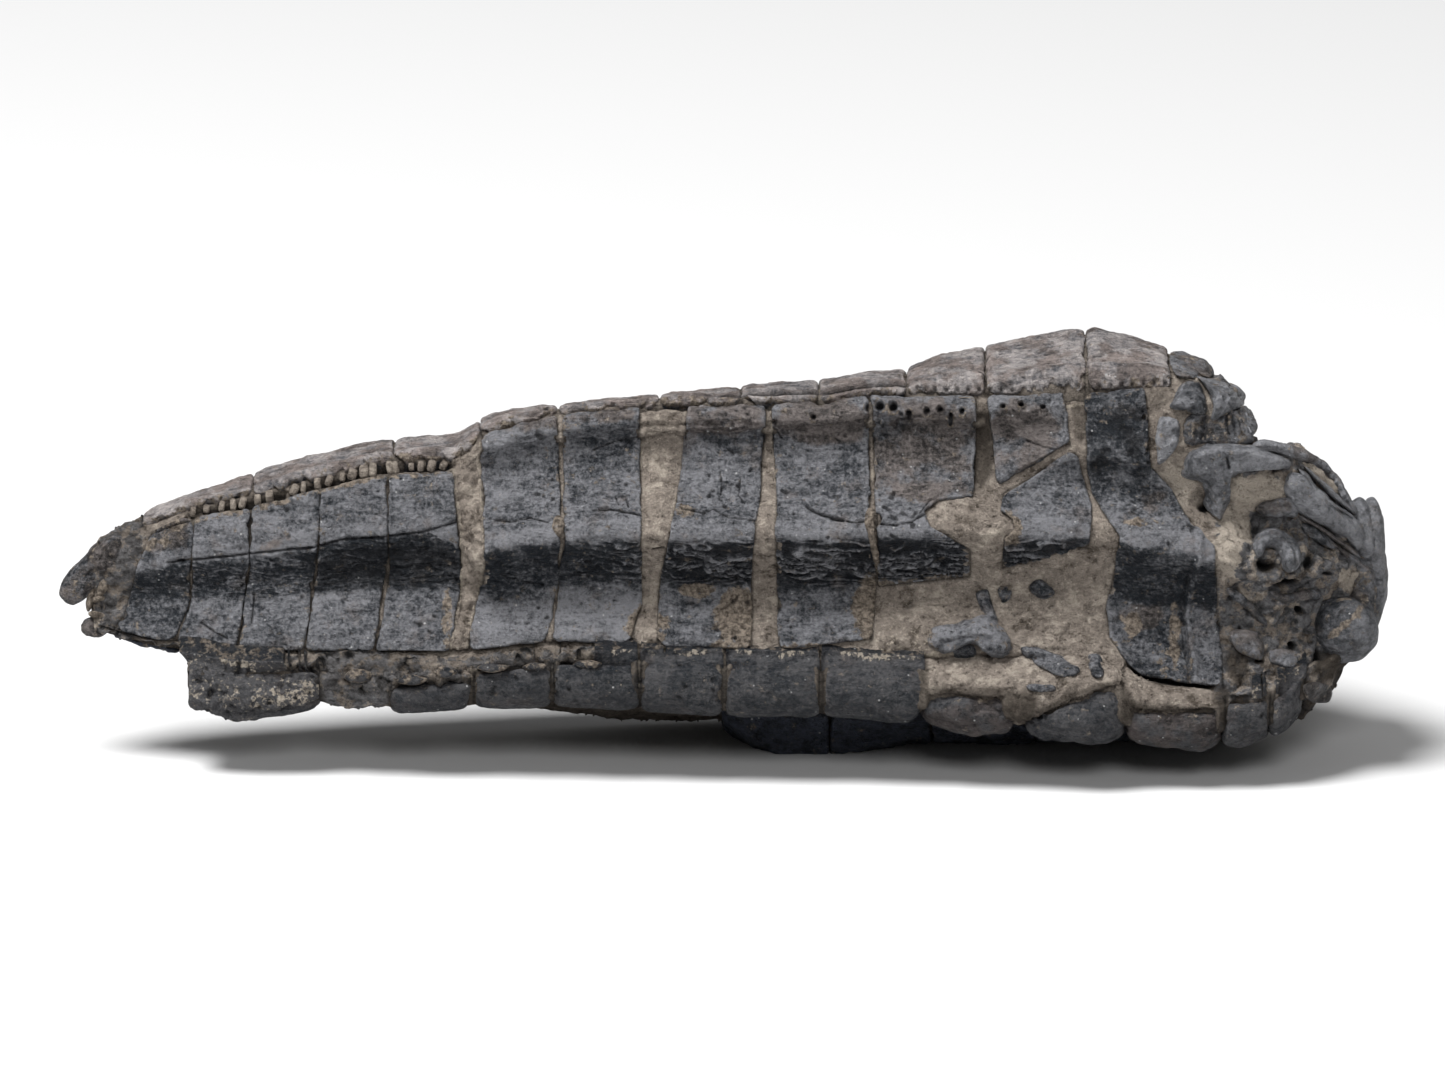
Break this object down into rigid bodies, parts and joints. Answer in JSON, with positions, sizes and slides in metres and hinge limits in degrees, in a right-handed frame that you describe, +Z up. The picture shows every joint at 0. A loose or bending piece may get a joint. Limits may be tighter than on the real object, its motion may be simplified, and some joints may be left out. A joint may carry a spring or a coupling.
{
  "type": "crinoid fossil",
  "caption": "Fossil crinoid crown lying on its side: a rounded cup of plates at one end and long closed arms tapering to a blunt tip, with sandstone matrix between the plates.",
  "frame": {"origin": "on the surface it rests on, under the centre of its bounding box", "axes": "+X along the crown from the tips of the arms to the cup, +Y to the rear, away from the arm that faces the viewer, +Z up"},
  "size_m": [0.1402, 0.0384, 0.0439],
  "materials": {
    "front_plates": "slate-grey calcite plates, bluish in the hollows and brown-grey on the ridges, satin",
    "top_plates": "brown-grey calcite plates, dull satin",
    "lower_plates": "dark grey calcite plates with paler worn rims, satin",
    "under_plates": "very dark blue-grey calcite plates, matt",
    "rear_plates": "slate-grey calcite plates, dull satin",
    "cup_plates": "dark blue-grey calcite plates with ridges and pits, satin",
    "matrix": "brown fine sandstone, rough and matt"
  },
  "bodies": {
    "root": {"front_arm_plate_01": "front_plates", "front_arm_plate_02_upper": "front_plates", "front_arm_plate_02_lower": "front_plates", "front_arm_plate_03": "front_plates", "front_arm_plate_04": "front_plates", "front_arm_plate_05": "front_plates", "front_arm_plate_06": "front_plates", "front_arm_plate_07": "front_plates", "front_arm_plate_08": "front_plates", "front_arm_plate_09": "front_plates", "front_arm_plate_10": "front_plates", "front_arm_plate_11": "front_plates", "front_arm_plate_12": "front_plates", "top_arm_plate_01": "top_plates", "top_arm_plate_02": "top_plates", "top_arm_plate_03": "top_plates", "top_arm_plate_04": "top_plates", "top_arm_plate_05": "top_plates", "top_arm_plate_06": "top_plates", "top_arm_plate_07": "top_plates", "top_arm_plate_08": "top_plates", "top_arm_plate_09": "top_plates", "top_arm_plate_10": "top_plates", "top_arm_plate_11": "top_plates", "lower_arm_plate_01": "lower_plates", "lower_arm_plate_02": "lower_plates", "lower_arm_plate_03": "lower_plates", "lower_arm_plate_04": "lower_plates", "lower_arm_plate_05": "lower_plates", "lower_arm_plate_06": "lower_plates", "lower_arm_plate_07": "lower_plates", "lower_arm_plate_08": "lower_plates", "lower_arm_plate_09": "lower_plates", "lower_arm_plate_10": "lower_plates", "lower_arm_plate_11": "lower_plates", "lower_arm_plate_12": "lower_plates", "under_arm_plate_01": "under_plates", "under_arm_plate_02": "under_plates", "under_arm_plate_03": "under_plates", "under_arm_plate_04": "under_plates", "under_arm_plate_05": "under_plates", "under_arm_plate_tip": "under_plates", "rear_arm_plate_01": "rear_plates", "rear_arm_plate_02": "rear_plates", "rear_arm_plate_03": "rear_plates", "rear_arm_plate_04": "rear_plates", "rear_arm_plate_05": "rear_plates", "rear_arm_plate_06": "rear_plates", "rear_arm_plate_07": "rear_plates", "cup_star_plate": "cup_plates", "cup_inner_knob": "cup_plates", "cup_wrinkled_basal": "cup_plates", "cup_upper_basal": "cup_plates", "cup_lower_lobe": "cup_plates", "cup_end_plate": "cup_plates", "cup_lower_plate": "cup_plates", "cup_upper_knob": "cup_plates", "cup_shoulder_knob": "cup_plates", "cup_rear_basal": "cup_plates", "matrix": "matrix"}
  },
  "joints": []
}
